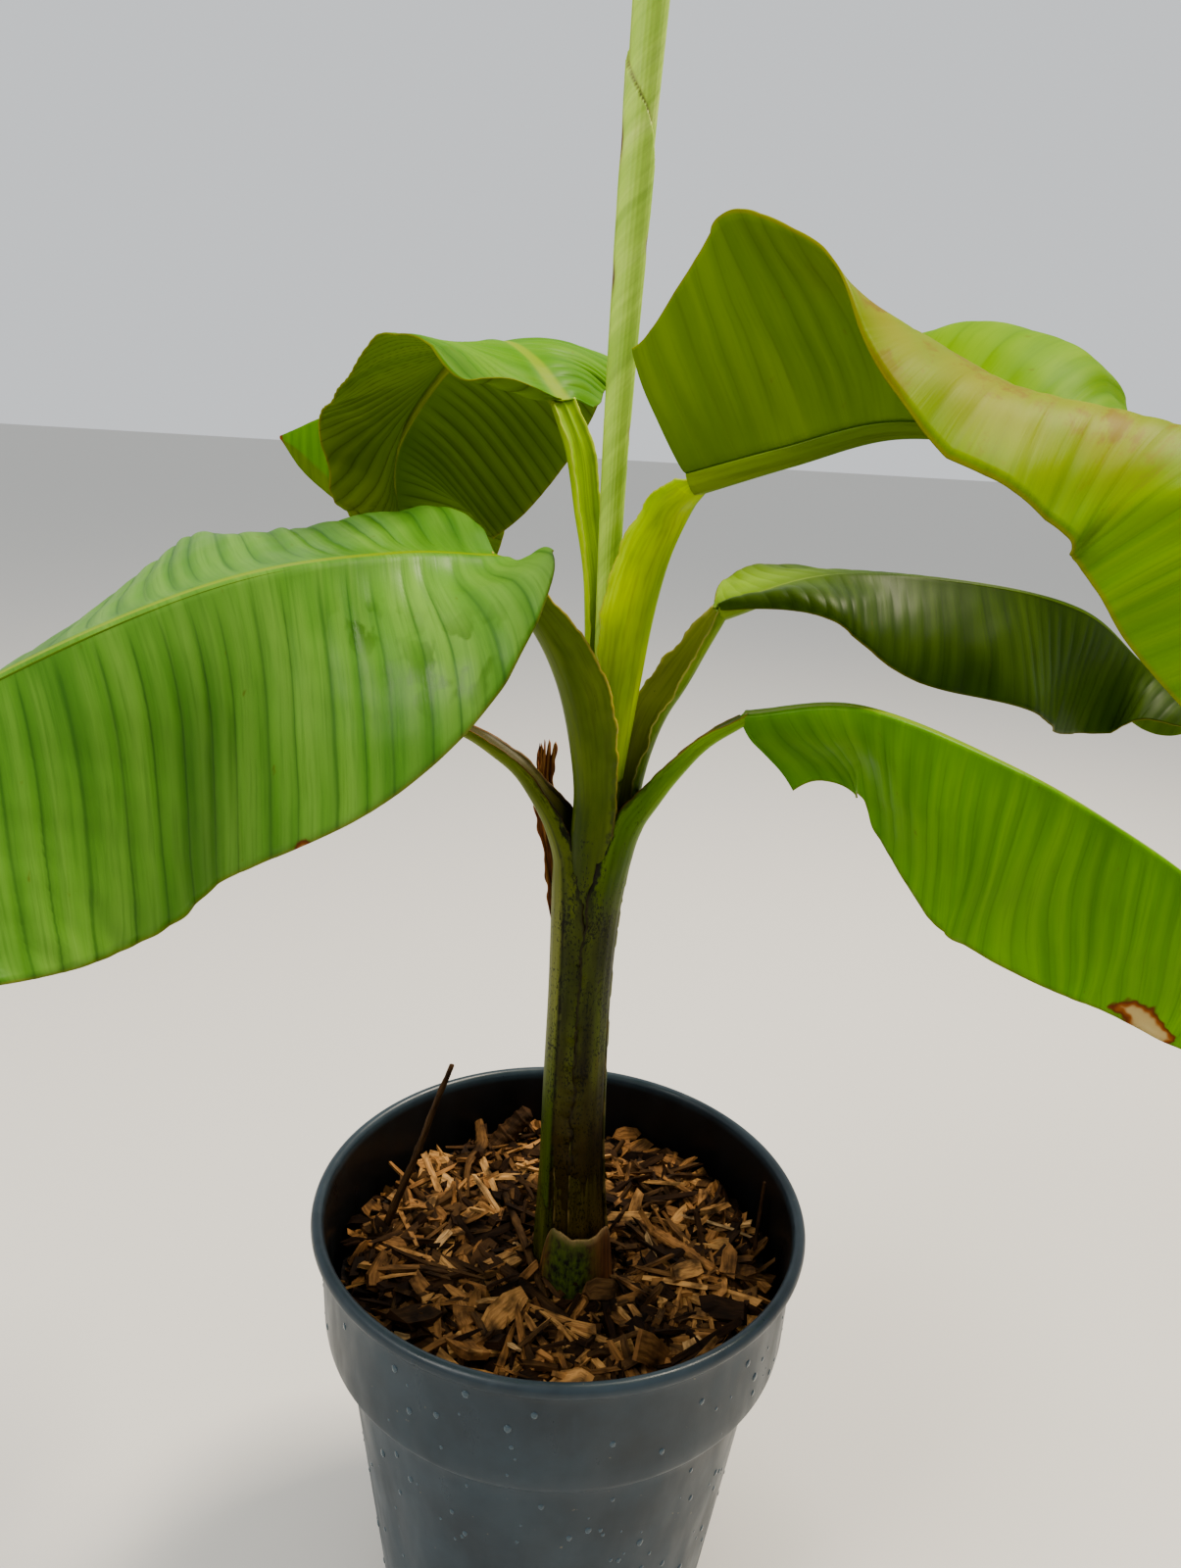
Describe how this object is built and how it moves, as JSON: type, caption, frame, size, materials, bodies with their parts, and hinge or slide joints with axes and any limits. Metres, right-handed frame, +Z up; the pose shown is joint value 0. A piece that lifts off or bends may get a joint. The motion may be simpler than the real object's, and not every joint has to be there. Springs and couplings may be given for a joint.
{
  "type": "potted banana plant",
  "caption": "Young banana plant with a slim green stem, arching ribbed leaves and an upright rolled leaf, in a round tapered plastic pot filled with wood-chip mulch.",
  "frame": {"origin": "centre of the pot's flat underside, on the surface that the pot stands on", "axes": "+Z up along the pot and the stem, -Y towards the front of the plant, +X to the right as seen from the front"},
  "size_m": [0.6063, 0.4054, 0.958],
  "materials": {
    "pot_plastic": "satin moulded, blue-grey",
    "mulch": "rough chips over moist compost",
    "twig_wood": "weathered bark and bare twig",
    "stem": "waxy green with dark flecks",
    "cut_sheath": "dried and fibrous",
    "petiole": "waxy yellow-green",
    "dry_sheath": "papery, brown",
    "blade": "satin leaf, ribbed across",
    "new_leaf": "matt, pale grey-green bloom"
  },
  "bodies": {
    "root": {"pot": "pot_plastic", "mulch_fill": "mulch", "twig_tall": "twig_wood", "bark_stick": "twig_wood", "twig_right": "twig_wood", "pseudostem": "stem", "inner_sheath": "petiole", "cut_leaf_base": "cut_sheath", "dry_sheath": "dry_sheath", "rolled_leaf": "new_leaf", "petiole_1": "petiole", "petiole_2": "petiole", "petiole_4": "petiole", "petiole_5": "petiole", "petiole_6": "petiole", "petiole_7": "petiole", "leaf_1": "blade", "leaf_2_base": "blade", "leaf_2_tip": "blade", "leaf_4": "blade", "leaf_5": "blade", "leaf_6": "blade", "leaf_7": "blade"}
  },
  "joints": []
}
